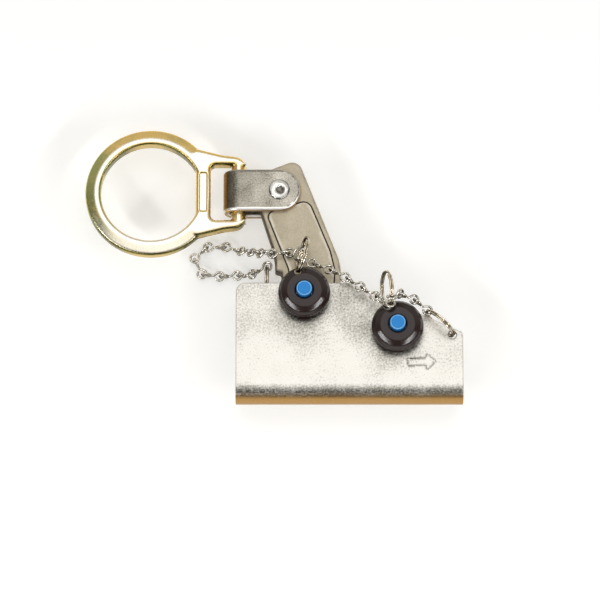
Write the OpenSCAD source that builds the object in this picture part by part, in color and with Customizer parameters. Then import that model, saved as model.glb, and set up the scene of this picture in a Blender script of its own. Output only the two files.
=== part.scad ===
// Detachable cable grab: a bent channel that clips round a steel wire line, a cam lever that
// presses a grooved shoe onto the wire, two ball-lock pins that hold both, and a forged ring.
// +X runs along the wire towards the direction of travel, +Y from the wire to the lever's
// head, +Z along the pins towards their knobs. The origin is the middle of the wire's seat.

/* [Channel body] */
// Length of the channel along the wire
body_len = 118; // [100:1:140]
// Thickness of the bent sheet
sheet_t = 3; // [2.5:0.1:3.5]
// Inner radius of the bend that seats the wire
bend_r = 5; // [4.9:0.1:5.6]
// Height of the level top edge above the wire
body_h = 55.4; // [54:0.1:62]
// Length of the level top edge
top_len = 59.5; // [54:0.5:66]
// Height of the front end above the wire
front_h = 28.8; // [27:0.1:32]

/* [Cam lever] */
// Thickness across the raised panels
lever_t = 9.4; // [8.6:0.1:9.6]
// How far each raised panel stands out of the lever
panel_rise = 0.4; // [0.2:0.1:0.8]
// Radius of the cam nose
nose_r = 9; // [8:0.1:9.5]
// Distance of the nose's centre from the pivot
nose_reach = 26; // [24:0.1:26.5]
// Gap between the nose and the shoe at rest
nose_gap = 0.3; // [0.2:0.05:0.6]

/* [Cable shoe] */
// Radius of the groove that grips the wire
groove_r = 5.3; // [5.2:0.1:5.8]
// Left end of the shoe, from the body's middle
shoe_left = -45; // [-50:1:-40]
// Right end of the shoe
shoe_right = 37; // [35:1:42]
// Radius of the shoe's boss round its pin
shoe_boss_r = 8.5; // [7:0.1:10]

/* [Shackle] */
// Width of the flat bar
strap_w = 22.8; // [20:0.2:26]
// Thickness of the flat bar
strap_t = 3; // [2.5:0.1:3.5]
// Distance from the rivet to the ring's bar
strap_len = 21.3; // [21:0.1:26]
// Radius of the rivet's shank
rivet_r = 4; // [3:0.1:4.5]
// Radius of the rivet's swaged head
rivet_head_r = 5.5; // [4.8:0.1:6]
// Height of the rivet's head
rivet_head_h = 1.5; // [1:0.1:2]

/* [Connecting ring] */
// Outer radius of the ring
ring_outer_r = 34.5; // [32:0.1:38]
// Inner radius of the ring
ring_inner_r = 26.3; // [24:0.1:27]
// Distance from the bar to the ring's centre
ring_reach = 46; // [45:0.5:52]
// Thickness of the forging
ring_t = 8.4; // [7.6:0.1:9]
// Thickness of the ring at its outer rim, where its slopes end
ring_rim_t = 5.8; // [4:0.1:7]
// Width of the ring's flat face, between its bore and its slope
ring_face = 3.2; // [2.6:0.1:4]
// Radius of the round bar
bar_r = 4; // [3:0.1:4.5]
// Width of the slot that takes the strap, along the bar
slot_w = 30; // [27:0.1:31]
// Length of the slot, away from the bar
slot_len = 10.7; // [9:0.1:12]

/* [Ball-lock pins] */
// Radius of the pins
pin_r = 4; // [3.4:0.1:4.3]
// Clearance between a pin and its holes
pin_play = 0.1; // [0.05:0.01:0.2]
// How far the pins stand out past the far wall
pin_tip = 11; // [10:0.5:14]
// Radius of the knobs
knob_r = 13.5; // [13.1:0.1:15]
// Height of the knobs
knob_h = 10.3; // [9.9:0.1:12]
// Radius of the push buttons
button_r = 4.1; // [3.4:0.1:4.3]
// How far the buttons stand out
button_rise = 2.6; // [2:0.1:4]
// Travel of the buttons
button_travel = 3; // [2:0.1:3]
// Radius of the locking balls
ball_r = 1.5; // [1.2:0.05:1.6]
// How far the balls stand out of the pin
ball_rise = 0.9; // [0.6:0.05:1]

/* [Rings and chains] */
// Outer radius of the split rings
split_r = 9.9; // [9:0.1:11]
// Wire diameter of the split rings
split_wire = 1.1; // [0.9:0.05:1.2]
// Wire diameter of the chain
chain_wire = 1.3; // [1:0.05:1.4]
// Outer radius of each loop of a chain link
loop_r = 2.9; // [2.8:0.05:3.1]
// Distance between the two loops of one link
loop_gap = 7; // [6.6:0.1:7.4]

/* [Hidden] */
$fn = 48;
eps = 0.01;

// ---- channel body ----
half_in = bend_r;
half_out = bend_r + sheet_t;
left_x = -body_len / 2;
right_x = body_len / 2;
shoulder = [left_x + top_len, body_h];
front = [right_x - 0.5, front_h];
corner_r = 5;
pin_hole_r = pin_r + pin_play;

// ---- pins and pivots ----
pin_a = [-23.4, 48.7];
pin_b = [24.9, 30.4];
rivet_at = [-36.5, 106.3];
bar_x = rivet_at.x - strap_len;

// ---- cam ----
nose_dir = 250;
nose_at = pin_a + nose_reach * [cos(nose_dir), sin(nose_dir)];
shoe_top = nose_at.y - nose_r - nose_gap;
shoe_floor = 3;

// ---- pin sections, measured along Z ----
seat_gap = 0.1;
knob_z = half_out + seat_gap;
rim_z = knob_z + 4.1;
rim_t = 2.6;
knob_top = knob_z + knob_h;
shoulder_r = 6.5;
shoulder_t = 2;
shank_top = knob_z + 3.1;
tip_z = -half_out - pin_tip;
recess_r = button_r + 0.85;
button_top = knob_top + button_rise;
button_low = shank_top + button_travel + 2.4;
ball_play = 0.8;
ball_z = -half_out - ball_play - ball_r;
ball_out = pin_r + ball_rise - ball_r;
spindle_r = ball_out - ball_r - 0.1;
neck_r = spindle_r - ball_rise;
bore_r = spindle_r + 0.3;
spindle_low = ball_z - 1.6;
bore_low = spindle_low - button_travel - 0.6;

// ---- springs under the buttons ----
spring_turns = 4;
spring_wire_r = 0.25;
spring_seat = 0.05;
spring_sides = 8;
spring_steps = 14;

// ---- split rings: [place, height, heading, rise], each drawn sag past its hole's middle ----
ring_mean = split_r - split_wire / 2;
lanyard_hole_r = 1.85;
plate_hole_r = 2.1;
hole_reach = 11.3;
sag = 0.2;
hole_a = pin_a + hole_reach * [cos(107.6), sin(107.6)];
hole_b = pin_b + hole_reach * [cos(119), sin(119)];
corner_hole = front - [5, 1.5];
anchor_aside = 19.6;
anchor_hole = [pin_a.x - anchor_aside, body_h - 5.4];
slope = atan2(front.y - shoulder.y, front.x - shoulder.x);
rim_mid = rim_z + 2;
plate_mid = half_in + sheet_t / 2;
ring_a = hung(hole_a, rim_mid, 73, 20);
ring_b = hung(hole_b, rim_mid, 90, 23);
ring_corner = hung(corner_hole, plate_mid, slope + 163.6, 20);
ring_anchor = hung(anchor_hole, -plate_mid, 90, 0);

// ---- chains: the points that the middle of each one runs through between its two rings ----
chain_mean = loop_r - chain_wire / 2;
chain_slack = 2.6;
up = [0, 0, 1];
handle_route = [
    [-29.5, 71.8, 9], [-35, 71, 8.2], [-40, 71.3, 7.6], [-45.5, 72.8, 3],
    [-50.5, 75.8, -5], [-56.5, 79, -13], [-64, 82, -15.6], [-72, 82.5, -15.6],
    [-79, 79.5, -15.6], [-81, 73.5, -15.6], [-77.5, 67.8, -15.6], [-69, 66, -15.6],
    [anchor_hole.x - 17, anchor_hole.y + 16, -15],
    [anchor_hole.x - 6.5, anchor_hole.y + 15.5, -9.5]
];
middle_route = [
    [-17, 65, 8.9], [-9, 60.9, 11.3], [-2, 56.9, 12.7], [4.5, 52.1, 14.7], [12, 46, 17.5]
];
// Three links just bridge corner_span. Over a shorter way their spare length arches up, clear of
// the knob, and the last link sits further up the corner ring.
corner_span = 34;
corner_points = [[27, 46, 19.5], [33.5, 44, 16]];
corner_rise = [[0, 0.2, 0.2], [-0.2, 0.3, 0.6]];
spare = max(0, corner_span - (corner_hole.x - hole_b.x));
corner_route = corner_points + spare * corner_rise;
corner_grip = 5 + 5 * spare;

// ---------- outlines with rounded corners ----------

function unit(v) = v / norm(v);

function turned(v, a) = [v.x * cos(a) - v.y * sin(a), v.x * sin(a) + v.y * cos(a)];

// The arc of radius r that rounds the corner at p between its neighbours a and b
function corner_arc(a, p, b, r, steps) =
    let (u = unit(a - p), v = unit(b - p),
         half = acos(u * v) / 2,
         centre = p + unit(u + v) * r / sin(half),
         from = p + u * r / tan(half) - centre,
         sweep = -sign(u.x * v.y - u.y * v.x) * (180 - 2 * half))
    [for (i = [0:steps]) centre + turned(from, sweep * i / steps)];

// An outline from corners given as [x, y, radius]
function rounded(corners, steps = 7) =
    let (n = len(corners))
    [for (i = [0:n - 1])
        let (c = corners[i], p = [c.x, c.y],
             a = corners[(i + n - 1) % n], b = corners[(i + 1) % n])
        each (c.z > 0 ? corner_arc([a.x, a.y], p, [b.x, b.y], c.z, steps) : [p])];

module plate(corners, low, high) {
    translate([0, 0, low]) linear_extrude(high - low) polygon(rounded(corners));
}

module drill(at, r, low, high) {
    translate([at.x, at.y, low]) cylinder(h = high - low, r = r);
}

// ---------- channel body: one sheet bent round the wire ----------

body_corners = [
    [left_x, 0, 0], [left_x, body_h, corner_r], [shoulder.x, shoulder.y, 12],
    [front.x, front.y, 2], [right_x, front.y - 2, 2], [right_x, 0, 0]
];

module bend() {
    intersection() {
        translate([left_x, 0, 0]) rotate([0, 90, 0]) difference() {
            cylinder(h = body_len, r = half_out, $fn = 96);
            translate([0, 0, -1]) cylinder(h = body_len + 2, r = half_in, $fn = 96);
        }
        translate([left_x - 1, -half_out - 1, -half_out - 1])
            cube([body_len + 2, half_out + 1, 2 * half_out + 2]);
    }
}

module channel_body() {
    color("#d9d6cd") difference() {
        union() {
            bend();
            plate(body_corners, half_in, half_out);
            plate(body_corners, -half_out, -half_in);
        }
        for (at = [pin_a, pin_b]) drill(at, pin_hole_r, -half_out - 1, half_out + 1);
        drill(corner_hole, plate_hole_r, half_in - 1, half_out + 1);
        drill(anchor_hole, plate_hole_r, -half_out - 1, -half_in + 1);
    }
}

// ---------- cam lever: a forged arm with a panel on each face and a round cam nose ----------

lever_corners = [
    [-49.5, 105, 9], [-46.5, 96, 20], [-40.2, 76, 20], [-38.6, 68, 10], [-38.6, 63, 1],
    [-35.3, 62, 1.5], [-35.3, 44, 12], [-41.2, 27, 4],
    [nose_at.x, nose_at.y, 0], [-25.2, 19, 2],
    [-6.5, 36, 12], [-4.2, 45, 16], [-4.2, 66.8, 30], [-26.6, 124.3, 5.5], [-44, 117.5, 9]
];
panel_corners = [
    [-42.9, 94.2, 3], [-21.3, 101.5, 4.5], [-10, 73.5, 20], [-7.6, 63, 8],
    [-8.6, 50, 10], [-26, 33, 4], [-31, 44, 10], [-31, 63, 12]
];

module cam_lever() {
    core = lever_t / 2 - panel_rise;
    color("#b3a68d") difference() {
        union() {
            plate(lever_corners, -core, core);
            plate(panel_corners, -lever_t / 2, lever_t / 2);
            drill(nose_at, nose_r, -core, core);
        }
        drill(pin_a, pin_hole_r, -lever_t, lever_t);
        drill(rivet_at, rivet_r + pin_play, -lever_t, lever_t);
    }
}

// ---------- cable shoe: hung on the second pin, grooved to fit the wire ----------

shoe_corners = [
    [shoe_left, shoe_floor, 1], [shoe_left, shoe_top - 3, 3], [shoe_left + 4, shoe_top, 3],
    [pin_b.x - 17, shoe_top, 12], [pin_b.x - shoe_boss_r * 0.9, pin_b.y + 1, 2],
    [pin_b.x, pin_b.y, 0], [pin_b.x + shoe_boss_r * 0.95, pin_b.y - 1, 2],
    [shoe_right - 2, shoe_floor + 7, 6], [shoe_right, shoe_floor, 1]
];

module cable_shoe() {
    color("#8f8c86") difference() {
        union() {
            plate(shoe_corners, -lever_t / 2, lever_t / 2);
            drill(pin_b, shoe_boss_r, -lever_t / 2, lever_t / 2);
        }
        drill(pin_b, pin_hole_r, -lever_t, lever_t);
        translate([shoe_left - 1, 0, 0]) rotate([0, 90, 0])
            cylinder(h = shoe_right - shoe_left + 2, r = groove_r, $fn = 96);
    }
}

// ---------- shackle: a strap folded round the ring's bar and riveted through the lever ----------

module strap_outline() {
    translate([bar_x, rivet_at.y - strap_w / 2])
        square([rivet_at.x - bar_x, strap_w]);
    translate(rivet_at) circle(r = strap_w / 2, $fn = 96);
}

module shackle_strap() {
    outer = half_in + strap_t;
    color("#a39e92") difference() {
        union() {
            for (low = [half_in, -outer])
                translate([0, 0, low]) linear_extrude(strap_t) strap_outline();
            intersection() {
                translate([bar_x, rivet_at.y + strap_w / 2, 0]) rotate([90, 0, 0])
                    difference() {
                        cylinder(h = strap_w, r = outer, $fn = 96);
                        translate([0, 0, -1]) cylinder(h = strap_w + 2, r = half_in, $fn = 96);
                    }
                translate([bar_x - outer - 1, rivet_at.y - strap_w, -outer - 1])
                    cube([outer + 1, 2 * strap_w, 2 * outer + 2]);
            }
        }
        drill(rivet_at, rivet_r, -outer - 1, outer + 1);
    }
}

module shackle_rivet() {
    outer = half_in + strap_t;
    tip = outer + rivet_head_h;
    color("#c9c7c2") translate(rivet_at) rotate_extrude() polygon([
        [0, -tip + 1.2], [1.3, -tip + 1.2], [2, -tip + 0.2], [2.8, -tip],
        [rivet_head_r - 0.8, -tip + 0.4], [rivet_head_r, -outer - 0.4], [rivet_head_r, -outer],
        [rivet_r, -outer], [rivet_r, outer], [rivet_head_r, outer], [rivet_head_r, outer + 0.4],
        [rivet_head_r - 0.8, tip - 0.4], [2.8, tip], [2, tip - 0.2], [1.3, tip - 1.2],
        [0, tip - 1.2]
    ]);
}

// ---------- connecting ring: a forged eye with a round bar across its neck ----------

arm_end = slot_w / 2 + 4.2;
web_far = bar_r + slot_len + 7.6;
neck_t = ring_t - 0.6;
neck_end = 27;
neck_side = [
    [bar_r, arm_end, 5], [-8, arm_end + 1.4, 30], [-21.5, arm_end + 4.8, 3],
    [-neck_end, arm_end + 3.2, 0]
];
neck_corners = concat([for (i = [3:-1:0]) [neck_side[i].x, -neck_side[i].y, neck_side[i].z]],
                      neck_side);
slot_corners = [
    [bar_r + 1, -slot_w / 2, 0], [bar_r + 1, slot_w / 2, 0],
    [-bar_r - slot_len, slot_w / 2, 2.6], [-bar_r - slot_len, -slot_w / 2, 2.6]
];

// A forged section: flat faces beside the bore, then slopes down to a thin outer rim
module ring_section() {
    face = ring_t / 2;
    rim = ring_rim_t / 2;
    edge = ring_inner_r + ring_face;
    polygon(rounded([
        [ring_inner_r, -face, 1.2], [edge, -face, 2.5], [ring_outer_r, -rim, 1.4],
        [ring_outer_r, rim, 1.4], [edge, face, 2.5], [ring_inner_r, face, 1.2]
    ], 4));
}

// The neck fills the ring's bore as far as a straight web
module ring_neck() {
    difference() {
        plate(neck_corners, -neck_t / 2, neck_t / 2);
        translate([-ring_reach, 0, -ring_t]) intersection() {
            cylinder(h = 2 * ring_t, r = ring_inner_r + 1, $fn = 96);
            translate([-2 * ring_outer_r, -ring_outer_r, 0])
                cube([2 * ring_outer_r + ring_reach - web_far, 2 * ring_outer_r, 2 * ring_t]);
        }
    }
}

module connecting_ring() {
    color("#cdb267") translate([bar_x, rivet_at.y, 0]) {
        difference() {
            union() {
                ring_neck();
                translate([-ring_reach, 0, 0]) rotate_extrude($fn = 128) ring_section();
            }
            plate(slot_corners, -ring_t, ring_t);
            translate([-web_far + 1.6, -11, neck_t / 2 - 0.5]) cube([4.4, 22, ring_t]);
        }
        translate([0, -slot_w / 2 - 1, 0]) rotate([-90, 0, 0])
            cylinder(h = slot_w + 2, r = bar_r);
    }
}

// ---------- ball-lock pins ----------

module pin_shank(at) {
    color("#b9b8b4") translate(at) difference() {
        rotate_extrude() polygon([
            [0, tip_z], [pin_r - 1.2, tip_z], [pin_r, tip_z + 1.2], [pin_r, knob_z],
            [shoulder_r, knob_z], [shoulder_r, knob_z + shoulder_t], [pin_r, knob_z + shoulder_t],
            [pin_r, shank_top], [bore_r, shank_top], [bore_r, bore_low], [0, bore_low]
        ]);
        translate([-2 * pin_r, 0, ball_z]) rotate([0, 90, 0])
            cylinder(h = 4 * pin_r, r = ball_r + 0.05);
    }
}

// The knob, with a pointer under its rim that reaches pointer_out past it
module pin_knob(at, hole, pointer_out) {
    hub_r = knob_r - 4.1;
    color("#3a302b") difference() {
        union() {
            translate(at) rotate_extrude() polygon([
                [shoulder_r, knob_z], [hub_r, knob_z], [hub_r, rim_z], [knob_r - 0.7, rim_z],
                [knob_r, rim_z + 0.8], [knob_r, rim_z + rim_t - 1],
                [knob_r - 0.4, rim_z + rim_t - 0.2], [knob_r - 1.5, rim_z + rim_t + 0.5],
                [knob_r - 3.1, knob_top - 1.2], [knob_r - 5.1, knob_top - 0.1],
                [recess_r + 0.3, knob_top], [recess_r, knob_top - 0.3], [recess_r, shank_top],
                [pin_r, shank_top], [pin_r, knob_z + shoulder_t],
                [shoulder_r, knob_z + shoulder_t]
            ]);
            translate([at.x - 3, at.y - knob_r - pointer_out, knob_z])
                cube([6, 5 + pointer_out, 1.8]);
        }
        drill(hole, lanyard_hole_r, rim_z - 1, knob_top);
    }
}

module pin_button(at) {
    color("#2f80c4") translate(at) rotate_extrude() polygon([
        [spindle_r, button_low], [button_r, button_low], [button_r, button_top - 0.5],
        [button_r - 0.5, button_top], [0, button_top], [0, button_low + 2],
        [spindle_r, button_low + 2]
    ]);
}

module pin_spindle(at) {
    color("#9a9994") translate(at) rotate_extrude() polygon([
        [0, spindle_low], [spindle_r, spindle_low], [spindle_r, ball_z],
        [neck_r, ball_z + button_travel], [neck_r, ball_z + button_travel + 2],
        [spindle_r, ball_z + button_travel + 3], [spindle_r, button_low + 2],
        [0, button_low + 2]
    ]);
}

module pin_ball(at, side) {
    color("#c8c8c6") translate([at.x + side * ball_out, at.y, ball_z]) sphere(r = ball_r);
}

// A helical wire swept as one tube, between the shank's top and the button
module pin_spring(at) {
    mean_r = (spindle_r + recess_r) / 2;
    low = shank_top + spring_wire_r + spring_seat;
    rise = button_low - shank_top - 2 * (spring_wire_r + spring_seat);
    count = spring_turns * spring_steps;
    points = [for (i = [0:count], k = [0:spring_sides - 1])
        let (a = 360 * i / spring_steps, b = -360 * k / spring_sides,
             r = mean_r + spring_wire_r * cos(b))
        [r * cos(a), r * sin(a), low + rise * i / count + spring_wire_r * sin(b)]];
    walls = [for (i = [0:count - 1], k = [0:spring_sides - 1])
        let (p = i * spring_sides + k, q = i * spring_sides + (k + 1) % spring_sides)
        [p, q, q + spring_sides, p + spring_sides]];
    ends = [[for (k = [spring_sides - 1:-1:0]) k],
            [for (k = [0:spring_sides - 1]) count * spring_sides + k]];
    color("#a7a6a1") translate(at) polyhedron(points, concat(walls, ends));
}

// ---------- split rings: two turns of wire side by side ----------

function hung(hole, z, heading, rise) =
    [hole - sag * [cos(heading), sin(heading)], z, heading, rise];

function about_y(v, a) = [v.x * cos(a) + v.z * sin(a), v.y, v.z * cos(a) - v.x * sin(a)];
function about_z(v, a) = [v.x * cos(a) - v.y * sin(a), v.x * sin(a) + v.y * cos(a), v.z];

function leaned(v, ring) = about_z(about_y(v, -ring[3]), ring[2]);

// The middle of a ring's wire at angle a, from the far side upwards, and the wire's way there
function spot(ring, a) = [ring[0].x, ring[0].y, ring[1]]
    + leaned([ring_mean * (1 + cos(a)), 0, ring_mean * sin(a)], ring);
function way(ring, a) = leaned([-sin(a), 0, cos(a)], ring);

module split_ring(ring) {
    color("#a89b84") translate([ring[0].x, ring[0].y, ring[1]]) rotate([0, 0, ring[2]])
        rotate([0, -ring[3], 0]) translate([ring_mean, 0, 0]) rotate([90, 0, 0])
            for (side = [-1, 1]) translate([0, 0, side * (split_wire / 2 - eps)])
                rotate_extrude($fn = 64) translate([ring_mean, 0])
                    circle(d = split_wire, $fn = 24);
}

// ---------- chains: wire links with a loop at each end, the two at right angles ----------

// A smooth curve through the route's points
function spline_point(a, b, c, d, t) =
    b + t / 2 * (c - a + t * (2 * a - 5 * b + 4 * c - d + t * (3 * (b - c) + d - a)));

function smooth(route, steps = 12) =
    let (last = len(route) - 1)
    [for (i = [0:last - 1], k = [0:steps - 1])
        spline_point(route[max(i - 1, 0)], route[i], route[i + 1], route[min(i + 2, last)],
                     k / steps), route[last]];

function lengths(line, i = 0, sum = 0) =
    i == len(line) ? []
    : let (here = i == 0 ? 0 : sum + norm(line[i] - line[i - 1]))
      concat([here], lengths(line, i + 1, here));

function point_at(line, at, s) =
    let (before = [for (i = [0:len(line) - 2]) if (at[i] <= s) i],
         i = before[len(before) - 1],
         t = (s - at[i]) / (at[i + 1] - at[i]))
    line[i] + min(t, 1) * (line[i + 1] - line[i]);

// A link is [start, direction, side, third axis]; its first loop lies in the plane of the
// direction and the side, its second in the plane of the direction and the third axis
function link_from(start, aim, side) =
    let (t = unit(aim - start), s = unit(side - (side * t) * t))
    [start, t, s, cross(t, s)];

// The first link: its loop stands square to the wire it is threaded on
function first_link(start, aim, wire) =
    let (t = unit(aim - start))
    link_from(start, aim, cross(wire, t));

// The next link, moved so that its loop sits in the last one's on the line that both planes share
function next_link(last, slack, aim, side, passes = 2) =
    let (seat = passes == 0 ? last[1]
            : let (guess = next_link(last, slack, aim, side, passes - 1),
                   e = cross(last[2], guess[3]))
              unit(e) * sign(e * last[1]))
    link_from(last[0] + loop_gap * last[1] + slack * seat, aim, side);

function links(line, at, count, pitch, wires, i = 0, last = undef) =
    i == count ? []
    : let (aim = point_at(line, at, i * pitch + loop_gap),
           here = i == 0 ? first_link(line[0], aim, wires[0])
               : next_link(last, pitch - loop_gap, aim, i == count - 1 ? wires[1] : up))
      concat([here], links(line, at, count, pitch, wires, i + 1, here));

module loop() {
    rotate_extrude($fn = 32) translate([chain_mean, 0]) circle(d = chain_wire, $fn = 16);
}

module link(l) {
    multmatrix([for (k = [0:2]) [l[1][k], l[2][k], l[3][k], l[0][k]]]) {
        loop();
        translate([loop_gap, 0, 0]) rotate([90, 0, 0]) loop();
        translate([chain_mean, 0, 0]) rotate([0, 90, 0])
            cylinder(h = loop_gap - 2 * chain_mean, d = chain_wire, $fn = 16);
    }
}

// A chain from the wire of one ring at angle a to that of another at angle b
module chain(from, a, route, to, b) {
    line = smooth(concat([spot(from, a)], route, [spot(to, b)]));
    at = lengths(line);
    total = at[len(at) - 1];
    count = round((total + chain_slack) / (loop_gap + chain_slack));
    pitch = (total - loop_gap) / (count - 1);
    color("#96938a") for (l = links(line, at, count, pitch, [way(from, a), way(to, b)]))
        link(l);
}

// ---------- the nodes ----------

channel_body();
cam_lever();
cable_shoe();
shackle_strap();
shackle_rivet();
connecting_ring();
pin_shank(pin_a);  // pin_a_shank
pin_knob(pin_a, hole_a, 0.6);  // pin_a_knob
pin_button(pin_a);  // pin_a_button
pin_spindle(pin_a);  // pin_a_spindle
pin_spring(pin_a);  // pin_a_spring
pin_ball(pin_a, 1);  // pin_a_ball_front
pin_ball(pin_a, -1);  // pin_a_ball_rear
split_ring(ring_a);  // pin_a_ring
pin_shank(pin_b);  // pin_b_shank
pin_knob(pin_b, hole_b, -0.3);  // pin_b_knob
pin_button(pin_b);  // pin_b_button
pin_spindle(pin_b);  // pin_b_spindle
pin_spring(pin_b);  // pin_b_spring
pin_ball(pin_b, 1);  // pin_b_ball_front
pin_ball(pin_b, -1);  // pin_b_ball_rear
split_ring(ring_b);  // pin_b_ring
split_ring(ring_corner);  // corner_ring
split_ring(ring_anchor);  // anchor_ring
chain(ring_a, -72, handle_route, ring_anchor, 0);  // handle_chain
chain(ring_a, -112, middle_route, ring_b, 135);  // middle_chain
chain(ring_b, 108, corner_route, ring_corner, corner_grip);  // corner_chain
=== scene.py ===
"""A detachable cable grab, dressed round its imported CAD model.

Sizes are in millimetres until a mesh is made. The sections follow the grab as it is put together:
channel, lever, shoe, shackle, connecting ring, ball-lock pins, split rings and chains.
"""

import math

import bpy
import numpy as np
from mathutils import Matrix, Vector, geometry


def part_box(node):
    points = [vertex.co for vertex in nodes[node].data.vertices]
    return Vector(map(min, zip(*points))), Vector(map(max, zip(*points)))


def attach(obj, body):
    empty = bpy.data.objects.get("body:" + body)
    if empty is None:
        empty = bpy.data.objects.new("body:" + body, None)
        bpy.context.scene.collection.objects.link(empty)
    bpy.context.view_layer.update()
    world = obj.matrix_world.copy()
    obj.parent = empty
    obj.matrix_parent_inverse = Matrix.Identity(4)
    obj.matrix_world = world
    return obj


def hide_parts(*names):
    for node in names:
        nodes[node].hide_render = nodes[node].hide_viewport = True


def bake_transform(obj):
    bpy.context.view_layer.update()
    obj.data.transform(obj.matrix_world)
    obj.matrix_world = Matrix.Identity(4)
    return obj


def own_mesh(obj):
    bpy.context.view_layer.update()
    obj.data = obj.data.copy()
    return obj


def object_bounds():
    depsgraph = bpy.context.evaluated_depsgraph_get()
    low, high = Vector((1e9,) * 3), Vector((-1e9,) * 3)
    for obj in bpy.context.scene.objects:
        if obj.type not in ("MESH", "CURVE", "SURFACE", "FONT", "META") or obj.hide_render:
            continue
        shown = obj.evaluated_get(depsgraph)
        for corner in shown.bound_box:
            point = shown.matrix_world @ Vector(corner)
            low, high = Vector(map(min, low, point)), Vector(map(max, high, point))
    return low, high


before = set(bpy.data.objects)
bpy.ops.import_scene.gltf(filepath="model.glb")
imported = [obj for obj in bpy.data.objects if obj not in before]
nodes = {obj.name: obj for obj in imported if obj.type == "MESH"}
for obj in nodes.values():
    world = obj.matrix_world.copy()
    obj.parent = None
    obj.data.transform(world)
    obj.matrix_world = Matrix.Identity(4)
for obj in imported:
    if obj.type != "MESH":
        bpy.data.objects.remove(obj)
cad_box = [list(corner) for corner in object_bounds()]

# ------------ Where it is seen from, and what it lies on
# The grab lies on its far wall on a pale table, seen from above and a little from the front.
# A soft white panel hangs over it, a long low one stands before it, and two narrow bright ones
# stand higher, at the left and the right. The room between them is dim, so that the plated metal
# has light and dark to show.

MM = 0.001
look_at = np.array([-25.6, 48.3, 0.0])
look_distance = 2400.0
look_lean = math.radians(16.5)
picture_width = 313.0
table_half, table_gap = 3000.0, 0.2


def colour(code):
    """Turns an sRGB hex code to linear RGBA: each channel by the sRGB transfer curve."""
    value = [int(code[i : i + 2], 16) / 255 for i in (1, 3, 5)]
    return [v / 12.92 if v < 0.04045 else ((v + 0.055) / 1.055) ** 2.4 for v in value] + [1.0]


def fill(node, inputs):
    """Sets a node's inputs, by name or number, to values or links. A node given for a value
    stands for its first output in use, and From or To gives both ends of a range."""
    for name, value in inputs.items():
        if name in ("From", "To"):
            fill(node, {name + " Min": value[0], name + " Max": value[1]})
            continue
        if isinstance(value, bpy.types.Node):
            value = next(output for output in value.outputs if output.enabled)
        if isinstance(value, bpy.types.NodeSocket):
            node.id_data.links.new(value, node.inputs[name])
        else:
            node.inputs[name].default_value = value


def add(tree, kind, inputs=None, stops=(), **settings):
    """Adds one shader node with its settings and inputs. stops are the places and colours of a
    colour ramp."""
    made = tree.nodes.new("ShaderNode" + kind)
    for name, value in settings.items():
        setattr(made, name, value)
    for number, (place, code) in enumerate(stops):
        ramp = made.color_ramp.elements
        stop = ramp[number] if number < len(ramp) else ramp.new(1)
        stop.position, stop.color = place, colour(code)
    fill(made, inputs or {})
    return made


def emptied(owner):
    """The node tree of a material or a world, with nothing in it."""
    owner.use_nodes = True
    owner.node_tree.nodes.clear()
    return owner.node_tree


def placed(name, data):
    """A new object in the scene for a mesh, a lamp or a camera."""
    made = bpy.data.objects.new(name, data)
    bpy.context.scene.collection.objects.link(made)
    return made


def meshed(name, points, faces):
    """A new mesh object in the scene, from points in mm and faces."""
    mesh = bpy.data.meshes.new(name)
    mesh.from_pydata((np.asarray(points) * MM).tolist(), [], [list(face) for face in faces])
    return placed(name, mesh)


lens = bpy.data.cameras.new("viewpoint")
lens.sensor_width = 36
lens.angle = 2 * math.atan(picture_width / 2 / look_distance)
lens.clip_start = 0.01
camera = placed("viewpoint", lens)
way_back = np.array([0, -math.sin(look_lean), math.cos(look_lean)])
camera.location = (look_at + look_distance * way_back) * MM
camera.rotation_euler = (look_lean, 0, 0)
bpy.context.scene.camera = camera

room = bpy.data.worlds.new("studio")
air = emptied(room)
_, sky_way, _ = add(air, "SeparateXYZ", {0: add(air, "TexCoord").outputs["Generated"]}).outputs
sky_tone = add(air, "MapRange", {0: sky_way, "From": (-0.1, 0.6), "To": (0.09, 0.6)},
               interpolation_type="SMOOTHSTEP")
sky_light = add(air, "Background", {"Color": colour("#fbf7f1"), "Strength": sky_tone})
sky_seen = add(air, "Background", {"Color": colour("#ffffff"), "Strength": 1.0})
ray = add(air, "LightPath")
sky = add(air, "MixShader", {0: ray.outputs["Is Camera Ray"], 1: sky_light, 2: sky_seen})
add(air, "OutputWorld", {"Surface": sky})
bpy.context.scene.world = room
bpy.context.scene.view_settings.view_transform = "Standard"

# Each panel's place, width and depth are in metres, and its power is in watts.
for panel, place, wide, deep, power in (
    ("over", (0.0, 0.11, 1.15), 1.1, 1.1, 4.15),
    ("front", (-0.1, -1.1, 0.12), 1.9, 0.2, 1.2),
    ("left", (-0.74, -0.57, 0.75), 1.15, 0.08, 5.2),
    ("right", (0.74, -0.57, 0.75), 1.15, 0.08, 5.2),
):
    lamp = bpy.data.lights.new("panel_" + panel, "AREA")
    lamp.shape = "RECTANGLE"
    lamp.size, lamp.size_y, lamp.energy = wide, deep, power
    held = placed("panel_" + panel, lamp)
    held.location = place
    held.rotation_euler = Vector(look_at * MM - place).to_track_quat("-Z", "Y").to_euler()

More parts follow.
